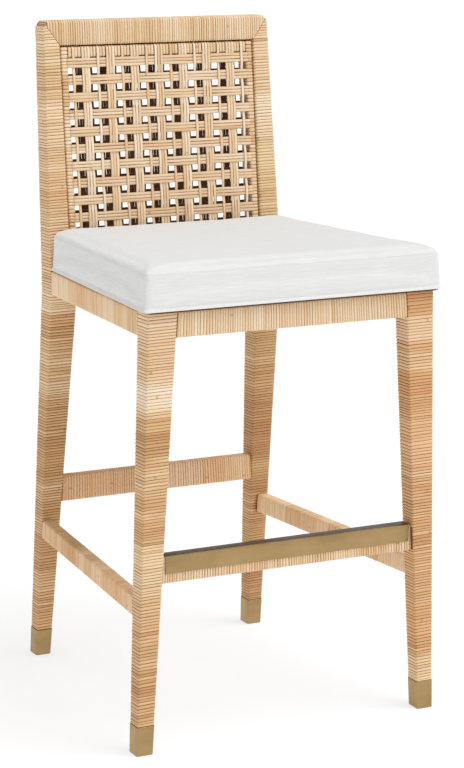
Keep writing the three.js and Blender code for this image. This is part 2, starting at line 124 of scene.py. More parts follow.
# ---- strands of rattan -----------------------------------------------------------------------
# Points across a wound strand: share of its width, depth under the outer surface, and how much of
# the painted shade in the groove between strands they carry.
CROWN = [
    (0.03, 1.0, 1.0), (0.035, 0.52, 0.95), (0.1, 0.24, 0.32), (0.28, 0.06, 0.0), (0.5, 0.0, 0.0),
    (0.72, 0.06, 0.0), (0.9, 0.24, 0.32), (0.965, 0.52, 0.95), (0.97, 1.0, 1.0),
]


def rounded_path(corner_points=4, side_points=2):
    """Points round a rounded rectangle: (corner before, corner after, share, direction)."""
    signs = [(1, 1), (-1, 1), (-1, -1), (1, -1)]
    path = []
    for k in range(4):
        for i in range(corner_points):
            angle = math.pi / 2 * (k + i / (corner_points - 1))
            path.append((k, k, 0.0, math.cos(angle), math.sin(angle)))
        angle = math.pi / 2 * (k + 1)
        for i in range(side_points):
            share = (i + 1) / (side_points + 1)
            path.append((k, (k + 1) % 4, share, math.cos(angle), math.sin(angle)))
    return np.array(signs, float), path


def put_attribute(mesh, key, domain, values):
    layer = mesh.attributes.new(key, "FLOAT_VECTOR", domain)
    layer.data.foreach_set("vector", np.asarray(values, np.float32).ravel())


def make_mesh(name, vertices, faces, attributes, material):
    mesh = bpy.data.meshes.new(name)
    mesh.from_pydata(vertices, [], faces)
    for key, values in attributes.items():
        put_attribute(mesh, key, "POINT", values)
    mesh.polygons.foreach_set("use_smooth", [True] * len(mesh.polygons))
    mesh.materials.append(material)
    mesh.update()
    piece = bpy.data.objects.new(name, mesh)
    bpy.context.scene.collection.objects.link(piece)
    return piece


class Strands:
    """Closed tubes that are gathered into one mesh, each vertex with what its material reads:
    strand = (length run, share across, number of the strand), look = (tone, groove, hue)."""

    def __init__(self):
        self.points, self.strand, self.look, self.faces = [], [], [], []
        self.count = 0

    def add(self, points, strand, look, keep=None):
        """Adds a tube given as stations x points around x 3, or only the runs of stations that are kept."""
        stations, around = points.shape[:2]
        keep = np.ones(stations, bool) if keep is None else keep
        both = keep[:-1] & keep[1:]
        used = keep & (np.append(both, False) | np.insert(both, 0, False))
        number = np.full(stations, -1)
        number[used] = np.arange(used.sum())
        base = self.count
        index = (base + number[:, None] * around + np.arange(around)[None, :])
        a, b = index[:-1][both], index[1:][both]
        quads = np.stack([a, np.roll(a, -1, 1), np.roll(b, -1, 1), b], 2).reshape(-1, 4)
        self.faces.extend(quads.tolist())
        starts = np.flatnonzero(both & ~np.insert(both[:-1], 0, False))
        ends = np.flatnonzero(both & ~np.append(both[1:], False)) + 1
        for s in starts:
            self.faces.append(index[s][::-1].tolist())
        for e in ends:
            self.faces.append(index[e].tolist())
        self.points.append(points[used].reshape(-1, 3))
        self.strand.append(strand[used].reshape(-1, 3))
        self.look.append(look[used].reshape(-1, 3))
        self.count += int(used.sum()) * around

    def piece(self, name, material):
        points = np.concatenate(self.points)
        quads = np.array([f for f in self.faces if len(f) == 4])
        volume = sum(
            (points[quads[:, 0]] * np.cross(points[quads[:, i]], points[quads[:, i + 1]])).sum()
            for i in (1, 2)
        )
        faces = self.faces if volume > 0 else [f[::-1] for f in self.faces]
        attributes = {"strand": np.concatenate(self.strand), "look": np.concatenate(self.look)}
        return make_mesh(name, points.tolist(), faces, attributes, material)


TURNS_PER_LENGTH = (5, 24)  # how many turns one length of rattan lasts
MIDDLE_TONE, MIDDLE_HUE = 0.52, 0.5
LENGTH_SPREAD = {"tone": 0.085, "hue": 0.0875}  # between one length and the next
TURN_SPREAD = 0.06  # between one turn and the next


def lengths_of_colour(rng, count, per_turn):
    """Tone and hue along a winding: each new length of rattan has its own, and they drift along it."""
    tone, hue = np.empty(count), np.empty(count)
    i = 0
    while i < count:
        n = int(rng.uniform(*TURNS_PER_LENGTH) * per_turn)
        tone[i : i + n] = rng.normal() * LENGTH_SPREAD["tone"]
        hue[i : i + n] = rng.normal() * LENGTH_SPREAD["hue"]
        i += n
    turns_in = max(2, count // per_turn)
    each = np.repeat(rng.normal(size=turns_in + 2), per_turn)[:count] * TURN_SPREAD
    tone = MIDDLE_TONE + tone + 0.055 * drift(rng, count, turns_in / 5) + each
    hue = MIDDLE_HUE + hue + 0.12 * drift(rng, count, turns_in / 7)
    return tone, hue


LIFT_LIMITS = (-0.12 * MM, 0.2 * MM)  # how far a turn may lie under or over its neighbours
NARROWEST = 0.45 * MM  # a strand that would be narrower than this isn't made
WINDOW_DEPTH = 4 * MM  # how far from an upright's face its windows still cut the winding


def wind(strands, outlined, axis, ends, pitch, seed, radius, *, per_corner=4, windows=(), remap=None,
         boundaries=None, bands=(), sharp=None, shade=(0, 0)):
    """Winds a strand round a bar. The strand fills the room between one turn and the next, so that it
    is a little wider here and narrower there. With boundaries it makes closed rings instead.

    windows: openings, each (axis of the face, where the face is, low corner, high corner).
    bands: stretches of other rattan and of painted shade, each (middle, half length, change of tone).
    sharp: (corners, test): these corners are sharp where the test holds, as on a mitre."""
    rng = np.random.default_rng(seed)
    signs, path = rounded_path(per_corner)
    n = len(path)
    across, up = (axis + 1) % 3, (axis + 2) % 3
    at_stations, lows, highs = outlined
    start, end = ends
    if boundaries is None:
        turns = int(math.ceil((end - start) / pitch)) + 1
        total = (turns + 1) * n + 1
        grow = 1 + 0.07 * drift(rng, total, turns / 3)
        line = start + pitch * (np.cumsum(grow) / n - 1)
        scatter = np.repeat(rng.normal(size=turns + 3), n)[:total] * 0.06
        scatter = scatter + 0.05 * drift(rng, total, turns * 3)
        line = np.clip(line + pitch * scatter, start, end)
        lower, upper = line[:-n], line[n:]
        groups = [np.arange(len(lower))]
        place = np.arange(len(lower)) % n
        closed = False
    else:
        rings = boundaries
        lower = np.repeat([a for a, _ in rings], n + 1)
        upper = np.repeat([b for _, b in rings], n + 1)
        rng.normal(size=max(2, len(rings) * 3) + 3)  # passed over, so that each later draw keeps its place
        groups = [np.arange(i * (n + 1), (i + 1) * (n + 1)) for i in range(len(rings))]
        place = np.tile(np.append(np.arange(n), 0), len(rings))
        closed = True
    count = len(lower)
    before = np.array([p[0] for p in path])[place]
    after = np.array([p[1] for p in path])[place]
    share = np.array([p[2] for p in path])[place][:, None]
    way = np.array([p[3:] for p in path])[place]
    profile = np.array(CROWN)
    width = upper - lower
    at = lower[:, None] + profile[None, :, 0] * width[:, None]
    lift = 0.07 * MM * drift(rng, count, count / n * 2)
    lift = lift + 0.08 * MM * np.repeat(rng.normal(size=count // n + 2), n)[:count]
    if closed:
        lift = np.repeat(0.08 * MM * rng.normal(size=len(groups)), n + 1)
    outside = np.where(profile[None, :, 1] < 0.9, 1, 0)
    depth = profile[None, :, 1] * SLEEVE + outside * (np.clip(lift, *LIFT_LIMITS)[:, None] - LIFT_LIMITS[0])
    low_a, high_a = (np.interp(at, at_stations, v[:, across]) for v in (lows, highs))
    low_b, high_b = (np.interp(at, at_stations, v[:, up]) for v in (lows, highs))
    centre_a, half_a = (low_a + high_a) / 2, (high_a - low_a) / 2
    centre_b, half_b = (low_b + high_b) / 2, (high_b - low_b) / 2
    round_of = np.full((4,) + at.shape, radius)
    if sharp is not None:
        corners, beyond = sharp
        for k in corners:
            round_of[k] = np.where(beyond(at), 0.9 * MM, radius)
    round_of = np.minimum(round_of, np.minimum(half_a, half_b)[None] * 0.95)

    def corner_values(k):
        r = np.take_along_axis(round_of, np.broadcast_to(k[None, :, None], (1,) + at.shape), 0)[0]
        s = signs[k]
        return centre_a + s[:, :1] * (half_a - r), centre_b + s[:, 1:] * (half_b - r), r

    a0, b0, r0 = corner_values(before)
    a1, b1, r1 = corner_values(after)
    r = r0 + (r1 - r0) * share - depth
    pa = a0 + (a1 - a0) * share + r * way[:, :1]
    pb = b0 + (b1 - b0) * share + r * way[:, 1:]
    points = np.empty(at.shape + (3,))
    points[..., axis], points[..., across], points[..., up] = at, pa, pb
    if remap is not None:
        points[..., axis] = remap(points, at)
    keep = width > NARROWEST
    if sharp is not None:
        keep &= np.minimum(half_a, half_b).min(1) > 1.6 * MM
    middle = points[:, len(CROWN) // 2]
    for face_axis, where, low, high in windows:
        inside = np.abs(middle[:, face_axis] - where) < WINDOW_DEPTH
        for other in range(3):
            if other != face_axis:
                inside &= (middle[:, other] > low[other]) & (middle[:, other] < high[other])
        keep &= ~inside
    run = np.insert(np.cumsum(np.linalg.norm(np.diff(middle, axis=0), axis=1)), 0, 0)
    tone, hue = lengths_of_colour(rng, count, n)
    for centre, reach, amount in bands:
        gap = np.abs((lower + upper) / 2 - centre) - reach
        tone += amount * np.clip(0.5 - gap / (3 * MM), 0, 1)
    tone, hue = tone + shade[0], hue + shade[1]
    # Painted shade in the grooves between turns: deeper here, fainter there.
    groove_shade = 0.52 + 0.3 * drift(rng, count, count / n * 2.2) + 0.2 * drift(rng, count, count / n / 6)
    groove_shade = np.clip(groove_shade, 0.08, 1.1)
    strand = np.empty(at.shape + (3,))
    strand[..., 0] = run[:, None] + rng.uniform(0, 40)
    strand[..., 1] = profile[None, :, 0]
    strand[..., 2] = rng.uniform(0, 60)
    if closed:
        numbers = rng.uniform(0, 60, len(groups))
        strand[..., 2] = np.repeat(numbers, n + 1)[:, None]
    look = np.empty(at.shape + (3,))
    look[..., 0], look[..., 2] = tone[:, None], hue[:, None]
    look[..., 1] = profile[None, :, 2] * groove_shade[:, None]
    for group in groups:
        strands.add(points[group], strand[group], look[group], keep[group])


INSIDE_SHADE = 1.9  # marks the side of a woven strand that faces into the panel
# An oval strand of the woven panel: share of its width, share of its thickness, painted groove shade.
OVAL = [
    (0.0, 0.5, 1.0), (0.07, 0.83, 0.4), (0.27, 0.98, 0.0), (0.5, 1.0, 0.0), (0.73, 0.98, 0.0),
    (0.93, 0.83, 0.4), (1.0, 0.5, 1.0), (0.8, 0.08, 1.0), (0.2, 0.08, 1.0),
]


def lay(strands, centre, outward, width, thickness, rng, run):
    """Lays one strand along a line of points. outward is the way from the panel's middle to its face."""
    centre = np.asarray(centre, float)
    outward = np.asarray(outward, float)
    ahead = np.gradient(centre, axis=0)
    ahead /= np.linalg.norm(ahead, axis=1)[:, None]
    side = np.cross(ahead, outward)
    side /= np.linalg.norm(side, axis=1)[:, None]
    out = np.cross(side, ahead)
    oval = np.array(OVAL)
    count = len(centre)
    wide = width * (1 + 0.04 * drift(rng, count, count / 9))
    points = (
        centre[:, None]
        + side[:, None] * ((oval[:, 0] - 0.5)[None, :, None] * wide[:, None, None])
        + out[:, None] * ((oval[:, 1] - 0.5) * thickness)[None, :, None]
    )
    gone = np.insert(np.cumsum(np.linalg.norm(np.diff(centre, axis=0), axis=1)), 0, 0)
    strand = np.empty(points.shape)
    strand[..., 0], strand[..., 1] = (gone + run)[:, None], oval[None, :, 0]
    strand[..., 2] = rng.uniform(0, 60)
    look = np.empty(points.shape)
    base = rng.normal() * 0.13 + 0.68
    look[..., 0] = (base + 0.07 * drift(rng, count, 5))[:, None]
    look[..., 2] = MIDDLE_HUE + rng.normal() * 0.17
    look[..., 1] = np.where(oval[:, 1] < 0.4, INSIDE_SHADE, oval[:, 2])[None, :]
    strands.add(points, strand, look)


# ---- materials -------------------------------------------------------------------------------
class Shader:
    """A material under construction: short calls that add a node and return its output."""

    def __init__(self, name, roughness=0.6, metallic=0.0, specular=0.5):
        self.material = bpy.data.materials.new(name)
        self.material.use_nodes = True
        self.tree = self.material.node_tree
        self.bsdf = self.tree.nodes["Principled BSDF"]
        self.bsdf.inputs["Roughness"].default_value = roughness
        self.bsdf.inputs["Metallic"].default_value = metallic
        self.bsdf.inputs["Specular IOR Level"].default_value = specular

    def put(self, value, socket):
        if isinstance(value, bpy.types.NodeSocket):
            self.tree.links.new(value, socket)
        elif isinstance(value, (tuple, list)) and len(value) == 3 and socket.type == "RGBA":
            socket.default_value = (*value, 1)
        else:
            socket.default_value = value

    def math(self, operation, a, b=0.0, clamp=False):
        node = self.tree.nodes.new("ShaderNodeMath")
        node.operation, node.use_clamp = operation, clamp
        self.put(a, node.inputs[0])
        self.put(b, node.inputs[1])
        return node.outputs[0]

    def times(self, a, b, clamp=False):
        return self.math("MULTIPLY", a, b, clamp)

    def vector(self, a, b, c):
        node = self.tree.nodes.new("ShaderNodeCombineXYZ")
        for value, socket in zip((a, b, c), node.inputs):
            self.put(value, socket)
        return node.outputs[0]

    def split(self, vector):
        node = self.tree.nodes.new("ShaderNodeSeparateXYZ")
        self.put(vector, node.inputs[0])
        return node.outputs

    def attribute(self, name):
        node = self.tree.nodes.new("ShaderNodeAttribute")
        node.attribute_name = name
        return node.outputs["Vector"]

    def place(self):
        return self.tree.nodes.new("ShaderNodeTexCoord").outputs["Object"]

    def scaled(self, vector, scale):
        node = self.tree.nodes.new("ShaderNodeMapping")
        self.put(vector, node.inputs["Vector"])
        node.inputs["Scale"].default_value = scale
        return node.outputs[0]

    def noise(self, vector, scale=1.0, detail=3.0, rough=0.5, distortion=0.0):
        node = self.tree.nodes.new("ShaderNodeTexNoise")
        self.put(vector, node.inputs["Vector"])
        node.inputs["Scale"].default_value = scale
        node.inputs["Detail"].default_value = detail
        node.inputs["Roughness"].default_value = rough
        node.inputs["Distortion"].default_value = distortion
        return node.outputs["Fac"]

    def spread(self, value, low, high, to_low=0.0, to_high=1.0, smooth=False):
        node = self.tree.nodes.new("ShaderNodeMapRange")
        node.interpolation_type = "SMOOTHSTEP" if smooth else "LINEAR"
        self.put(value, node.inputs["Value"])
        limits = {"From Min": low, "From Max": high, "To Min": to_low, "To Max": to_high}
        for key, number in limits.items():
            node.inputs[key].default_value = number
        return node.outputs[0]

    def mix(self, share, a, b):
        node = self.tree.nodes.new("ShaderNodeMix")
        node.data_type, node.blend_type = "RGBA", "MIX"
        node.clamp_factor = True
        self.put(share, node.inputs[0])
        self.put(a, node.inputs[6])
        self.put(b, node.inputs[7])
        return node.outputs[2]

    def ramp(self, value, stops):
        node = self.tree.nodes.new("ShaderNodeValToRGB")
        elements = node.color_ramp.elements
        while len(elements) < len(stops):
            elements.new(0.5)
        for element, (at, colour) in zip(elements, stops):
            element.position, element.color = at, (*colour, 1)
        self.put(value, node.inputs[0])
        return node.outputs[0]

    def bump(self, height, distance, strength):
        node = self.tree.nodes.new("ShaderNodeBump")
        node.inputs["Strength"].default_value = strength
        node.inputs["Distance"].default_value = distance
        self.put(height, node.inputs["Height"])
        self.put(node.outputs[0], self.bsdf.inputs["Normal"])

    def finish(self, colour, roughness=None):
        self.put(colour, self.bsdf.inputs["Base Color"])
        if roughness is not None:
            self.put(roughness, self.bsdf.inputs["Roughness"])
        return self.material


def srgb(r, g, b):
    """A colour given as 0-255 screen values, as the linear values that shaders use."""
    return tuple(
        c / 12.92 if c <= 0.04045 else ((c + 0.055) / 1.055) ** 2.4 for c in (r / 255, g / 255, b / 255)
    )


def rattan_material(name):
    s = Shader(name, roughness=0.5, specular=0.4)
    run, across, number = s.split(s.attribute("strand"))
    tone, groove_shade, hue = s.split(s.attribute("look"))

    def noise_along(per_run, per_width, detail):
        place = s.vector(s.times(run, per_run), s.times(across, per_width), number)
        return s.noise(place, detail=detail)

    fibre = noise_along(45, 9, 4)
    mottle = noise_along(9, 0.7, 2)
    varied = s.math("ADD", tone, s.spread(mottle, 0.25, 0.75, -0.14, 0.14))
    varied = s.math("ADD", varied, s.spread(fibre, 0.25, 0.75, -0.1, 0.1))
    body = s.ramp(varied, [
        (0.0, srgb(194, 142, 92)), (0.25, srgb(219, 175, 124)), (0.5, srgb(239, 206, 164)),
        (0.75, srgb(246, 222, 189)), (1.0, srgb(252, 236, 212)),
    ])
    warm = s.mix(s.spread(hue, 0.5, 1.2, 0.0, 0.55), body, srgb(228, 168, 108))
    green = s.mix(s.spread(hue, 0.45, -0.2, 0.0, 0.4), warm, srgb(226, 204, 142))
    mark = s.math("FRACT", s.math("ADD", s.math("DIVIDE", run, 0.33), number))
    near = s.math("ABSOLUTE", s.math("SUBTRACT", mark, 0.5))
    ragged = s.math("ADD", near, s.spread(fibre, 0.2, 0.8, -0.006, 0.006))
    knot = s.spread(ragged, 0.001, 0.008, 0.5, 0.0, smooth=True)
    chance = s.noise(s.vector(s.times(number, 7.3), s.times(run, 3), 0.0))
    some = s.math("GREATER_THAN", chance, 0.56)
    knotted = s.mix(s.times(knot, some), green, srgb(150, 100, 58))
    # Painted shade in the grooves between strands.
    groove_shaded = s.mix(s.times(groove_shade, 0.72, clamp=True), knotted, srgb(146, 98, 60))
    # Painted shade on the woven strands' sides that face into the panel.
    inside = s.mix(s.spread(groove_shade, 1.3, 1.8), groove_shaded, srgb(104, 70, 44))
    rough = s.spread(fibre, 0.3, 0.7, 0.42, 0.6)
    s.bump(fibre, 0.12 * MM, 0.5)
    return s.finish(inside, rough)


def brass_material(name, light, dark):
    s = Shader(name, roughness=0.3, metallic=1.0)
    place = s.place()
    lines = s.noise(s.scaled(place, (60, 900, 900)), detail=3, rough=0.6)
    cloud = s.noise(place, scale=14, detail=3)
    smear = s.noise(s.scaled(place, (8, 60, 60)), detail=4)
    colour = s.mix(s.spread(cloud, 0.3, 0.7), light, dark)
    colour = s.mix(s.spread(smear, 0.5, 0.8, 0.0, 0.3), colour, srgb(146, 120, 84))
    rough = s.math("ADD", s.spread(lines, 0.3, 0.7, 0.28, 0.42), s.spread(smear, 0.4, 0.8, 0.0, 0.12))
    s.bump(lines, 0.03 * MM, 0.4)
    return s.finish(colour, rough)


def wood_material(name, light, dark, along=(1.2, 14, 14), roughness=0.62):
    s = Shader(name, roughness=roughness)
    place = s.place()
    rings = s.noise(s.scaled(place, tuple(4 * v for v in along)), detail=5, rough=0.6, distortion=0.4)
    pores = s.noise(s.scaled(place, tuple(60 * v for v in along)), detail=2)
    colour = s.mix(s.spread(rings, 0.3, 0.7), light, dark)
    colour = s.mix(s.spread(pores, 0.55, 0.75, 0.0, 0.35), colour, tuple(0.6 * c for c in dark))
    s.bump(pores, 0.1 * MM, 0.5)
    return s.finish(colour, s.spread(rings, 0.3, 0.7, roughness - 0.08, roughness + 0.1))


def grained_material(name, light, dark, scale, roughness, metallic=0.0, depth=0.1):
    s = Shader(name, roughness=roughness, metallic=metallic)
    grain = s.noise(s.place(), scale=scale, detail=4, rough=0.6)
    s.bump(grain, depth * MM, 0.6)
    colour = s.mix(s.spread(grain, 0.3, 0.7), light, dark)
    return s.finish(colour, s.spread(grain, 0.3, 0.7, roughness - 0.06, roughness + 0.08))


def linen_material():
    """Reads cloth = (along, across, part) in metres and seam = (distance from the seam, 0, 0)."""
    s = Shader("slub_linen", roughness=0.92, specular=0.15)
    s.bsdf.inputs["Sheen Weight"].default_value = 0.2
    s.bsdf.inputs["Sheen Roughness"].default_value = 0.5
    u, v, part = s.split(s.attribute("cloth"))
    warp_line = s.math("SINE", s.times(u, 2 * math.pi / (0.75 * MM)))
    weft_line = s.math("SINE", s.times(v, 2 * math.pi / (0.85 * MM)))
    threads = s.times(warp_line, weft_line)

    def slubs(per_u, per_v):
        place = s.vector(s.times(u, per_u), s.times(v, per_v), part)
        return s.noise(place, detail=3, rough=0.6)

    long_slub, short_slub = slubs(24, 560), slubs(620, 40)
    short_share = s.times(s.spread(short_slub, 0.55, 0.8), 0.4)
    slub = s.math("MAXIMUM", s.spread(long_slub, 0.52, 0.78), short_share)
    thin = s.spread(long_slub, 0.46, 0.3)
    cloud = s.noise(s.vector(u, v, part), scale=9, detail=2)
    colour = s.mix(s.spread(slub, 0.0, 0.9), srgb(234, 234, 233), srgb(247, 247, 246))
    colour = s.mix(s.times(thin, 0.35), colour, srgb(214, 215, 216))
    colour = s.mix(s.spread(threads, -1, 0.2, 0.16, 0.0), colour, srgb(206, 207, 207))
    colour = s.mix(s.spread(cloud, 0.35, 0.65, 0.0, 0.1), colour, srgb(222, 223, 224))
    away = s.math("ABSOLUTE", s.split(s.attribute("seam"))[0])
    seam_crease = s.spread(away, 0.5 * MM, 1.3 * MM, 1.0, 0.0, smooth=True)
    # Painted shade along the seam's crease; the bump below sinks it.
    colour = s.mix(s.times(seam_crease, 0.13), colour, srgb(186, 186, 186))
    height = s.math("ADD", s.times(threads, 0.5), s.times(slub, 1.4))
    height = s.math("SUBTRACT", height, s.times(seam_crease, 1.2))
    s.bump(height, 0.16 * MM, 0.7)
    return s.finish(colour)


RATTAN = rattan_material("rattan_strand")
BRASS = brass_material("satin_brass", srgb(179, 151, 106), srgb(166, 137, 94))
# Darker brass for the cap's top: painted shade.
TOP_SHADE_BRASS = brass_material("brass_painted_top_shade", srgb(112, 95, 74), srgb(94, 79, 60))
LINEN = linen_material()
HARDWOOD = wood_material("hardwood", srgb(190, 148, 100), srgb(160, 116, 72))
DARK_WOOD = wood_material("dark_spacer", srgb(142, 100, 64), srgb(120, 82, 52))
PLYWOOD = wood_material("plywood", srgb(206, 172, 124), srgb(176, 138, 92), along=(2, 9, 40))
CAMBRIC = grained_material("black_cambric", srgb(38, 38, 42), srgb(24, 24, 27), 900, 0.95, depth=0.15)
# Dark brown cloth for the strip of painted shade under the cushion's edge.
SHADE_STRIP_CLOTH = grained_material("painted_shade_strip", srgb(92, 70, 54), srgb(70, 52, 40), 900, 0.95, depth=0.15)
STEEL = grained_material("plated_steel", srgb(176, 176, 180), srgb(142, 142, 148), 160, 0.34, 1.0, 0.02)
NYLON = grained_material("glide_nylon", srgb(66, 60, 54), srgb(48, 43, 38), 300, 0.55)
FOAM = grained_material("foam", srgb(240, 230, 196), srgb(226, 214, 176), 420, 0.95, depth=0.5)


def shown(piece, slot, *stands_for):
    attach(piece, "root")
    if stands_for:
        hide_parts(*stands_for)
    return piece


# ---- wound frame -----------------------------------------------------------------------------
UPRIGHTS = [stem + "_" + word for stem in ("front_leg", "back_post") for word in SIDES]
outlines = {name: outline(name + "_wrap", Z) for name in UPRIGHTS}
ALONG_X = {
    "seat_rail_front": "front_leg", "footrest_stretcher": "front_leg",
    "seat_rail_back": "back_post", "back_stretcher": "back_post",
}
ALONG_Y = {
    "seat_rail_left": "left", "seat_rail_right": "right",
    "left_stretcher": "left", "right_stretcher": "right",
}
JOINT_GAP = 0.35 * MM


def windows_of(upright):
    """Where the wood of each crosspiece passes through the upright's sleeve."""
    found = []
    on_left, at_front = upright.endswith("left"), upright.startswith("front")
    meeting = [(name, X, on_left) for name, stem in ALONG_X.items() if upright.startswith(stem)]
    meeting += [(name, Y, at_front) for name, word in ALONG_Y.items() if upright.endswith(word)]
    for name, axis, on_high_face in meeting:
        low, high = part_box(name)
        where = face_of(outlines[upright], axis, on_high_face)((low.z + high.z) / 2)
        found.append((axis, where, *cut_at(name, axis, where)))
    return found


def cut_at(node, axis, where):
    """The corners of a crosspiece's section just inside the face that it passes through."""
    points, edges = arrays_of(node)
    middle = points[:, axis].mean()
    inside = where + math.copysign(0.6 * MM, middle - where)
    return section_box(points[edges[:, 0]], points[edges[:, 1]], axis, inside)


crest_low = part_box("panel_rail_top_wrap")[1].z + 2.2 * MM
# Stretches of lighter or darker rattan, as the photograph shows, and of painted shade: (middle, half
# length, change of tone).
BANDS = {
    "front_leg_left": [(0.565, 0.018, 0.1), (0.4435, 0.1035, -0.2), (0.14, 0.136, -0.2)],
    "front_leg_right": [(0.685, 0.025, -0.08), (0.638, 0.022, 0.36), (0.45, 0.166, -0.04)],
    # The long darker stretches low on both back posts are painted shade under the seat.
    "back_post_left": [(0.51, 0.03, 0.14), (0.9, 0.02, -0.08), (0.3, 0.32, -0.32)],
    "back_post_right": [(0.53, 0.035, 0.14), (0.32, 0.33, -0.42)],
    "back_stretcher": [(0.06, 0.028, 0.2), (0.135, 0.047, -0.25)],
}
# Change of tone and of hue over a whole member.
SHADES = {
    "front_leg_left": (0.0, 0.0), "front_leg_right": (-0.17, 0.32), "back_post_left": (0.0, 0.05),
    "back_post_right": (0.02, -0.25), "seat_rail_front": (0.08, -0.08), "seat_rail_back": (0, 0.1),
    "footrest_stretcher": (0.05, 0.1), "back_stretcher": (0.3, 0.8), "seat_rail_left": (-0.02, 0.08),
    "seat_rail_right": (0.0, 0.0), "left_stretcher": (-0.06, 0.1), "right_stretcher": (-0.04, 0.1),
}
UPRIGHT_RADIUS, CROSSPIECE_RADIUS = 3.2 * MM, 4 * MM
for i, name in enumerate(UPRIGHTS):
    stations = outlines[name][0]
    made = Strands()
    sharp = None
    if name.startswith("back_post"):
        inner = (0, 3) if name.endswith("left") else (1, 2)
        sharp = (inner, lambda z: z > crest_low - 1.5 * MM)
    wind(made, outlines[name], Z, (stations[0], stations[-1]), 5.0 * MM, 100 + i, UPRIGHT_RADIUS,
         windows=windows_of(name), bands=BANDS[name], sharp=sharp, shade=SHADES[name])
    shown(made.piece(name + "_rattan", RATTAN), "rattan", name + "_wrap")


def wind_crosspiece(name, axis, uprights, pitch, seed):
    """Winds a crosspiece and moves its turns along it, so that both ends follow the uprights' faces."""
    first, last = (face_of(outlines[upright], axis, high) for upright, high in zip(uprights, (True, False)))
    low, high = (corner[axis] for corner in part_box(name + "_wrap"))

    def remap(points, at):
        start, end = first(points[..., Z]), last(points[..., Z])
        share = (at - low) / (high - low)
        return start + JOINT_GAP + share * (end - start - 2 * JOINT_GAP)

    made = Strands()
    wind(made, straightened(name + "_wrap", axis), axis, (low, high), pitch, seed, CROSSPIECE_RADIUS,
         remap=remap, shade=SHADES[name], bands=BANDS.get(name, ()))
    shown(made.piece(name + "_rattan", RATTAN), "rattan", name + "_wrap")


for i, (name, stem) in enumerate(ALONG_X.items()):
    wind_crosspiece(name, X, (f"{stem}_left", f"{stem}_right"), 4.6 * MM, 200 + i)
for i, (name, word) in enumerate(ALONG_Y.items()):
    wind_crosspiece(name, Y, (f"front_leg_{word}", f"back_post_{word}"), 4.7 * MM, 300 + i)

MITRE_FROM = 178 * MM  # past this the crest's lower edge is its mitre
crest = outline("crest_rail_wrap", X, step=1 * MM)
made = Strands()
wind(made, crest, X, (crest[0][0], crest[0][-1]), 4.4 * MM, 400, 4.5 * MM,
     sharp=((2, 3), lambda x: np.abs(x) > MITRE_FROM), shade=(0.06, -0.05))
shown(made.piece("crest_rail_rattan", RATTAN), "rattan", "crest_rail_wrap")

# ---- woven panel -----------------------------------------------------------------------------
STRAND = 5.2 * MM
TRIPLE = 15.8 * MM
WOVEN_WIDTH = TRIPLE / 3 - 0.12 * MM  # of one woven strand
HALF_PITCH = 22.2 * MM
COLUMNS, ROWS = 15, 12
MARGIN = 0.5 * MM
THICK = 1.75 * MM
MIDDLE = 1.3 * MM  # how far a layer's middle lies under its own face

stile = {word: outline(f"panel_stile_{word}_wrap", Z, step=4 * MM) for word in SIDES}
front_of = face_of(stile["left"], Y, False)
back_of = face_of(stile["left"], Y, True)
stile_low, stile_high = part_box("panel_stile_left_wrap")
open_half = abs(stile_high.x)
weave_low, weave_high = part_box("weave_front")
row_pitch = (weave_high.z - weave_low.z - TRIPLE - 2 * MARGIN) / (ROWS - 1)
row_edges = [weave_low.z + MARGIN + i * row_pitch for i in range(ROWS)]
lean = (front_of(0.95) - front_of(0.75)) / 0.2
rows_from_top = list(reversed(range(ROWS)))


def split_evenly(low, high, near):
    n = max(1, round((high - low) / near))
    edges = np.linspace(low, high, n + 1)
    return list(zip(edges[:-1], edges[1:]))


def stile_rings():
    rings = split_evenly(stile_low.z, row_edges[0], STRAND)
    for i, z in enumerate(row_edges):
        rings += split_evenly(z, z + TRIPLE, STRAND)
        above = row_edges[i + 1] if i + 1 < ROWS else stile_high.z
        rings += split_evenly(z + TRIPLE, above, 5.6 * MM)
    return rings


for i, (word, side) in enumerate(SIDES.items()):
    made = Strands()
    wind(made, stile[word], Z, (stile_low.z, stile_high.z), STRAND, 500 + i, 3 * MM,
         boundaries=stile_rings(), per_corner=3)
    shown(made.piece(f"panel_stile_{word}_rattan", RATTAN), "rattan", f"panel_stile_{word}_wrap")

columns = []
for i in range(COLUMNS):
    x = (i - (COLUMNS - 1) / 2) * HALF_PITCH
    width = TRIPLE if i % 2 else STRAND
    columns.append((x, width))

for i, word in enumerate(("bottom", "top")):
    node = f"panel_rail_{word}_wrap"
    low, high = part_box(node)
    rings, edge = [], low.x
    for x, width in columns:
        rings += split_evenly(edge, x - width / 2, 5.0 * MM)
        edge = x + width / 2
    rings += split_evenly(edge, high.x, 5.0 * MM)
    made = Strands()
    # The rail leans with the back, so its section is a little sheared; its own outline follows.
    at, lows, highs = outline(node, X, step=40 * MM)
    z_mid = (low.z + high.z) / 2
    lows[:, Y], highs[:, Y] = front_of(z_mid), back_of(z_mid)

    def shear(points, at, z_mid=z_mid):
        points[..., Y] += lean * (points[..., Z] - z_mid)
        return points[..., X]

    wind(made, (at, lows, highs), X, (low.x, high.x), STRAND, 520 + i, 3 * MM, boundaries=rings,
         per_corner=3, remap=shear)
    shown(made.piece(f"panel_rail_{word}_rattan", RATTAN), "rattan", node)


def is_over(row_from_top, column):
    """True where the upright strands pass in front of that row."""
    return (row_from_top + column // 2) % 2 == 1


def softened(values):
    return np.convolve(np.pad(values, 2, "edge"), np.array([1, 2, 3, 2, 1]) / 9, "valid")


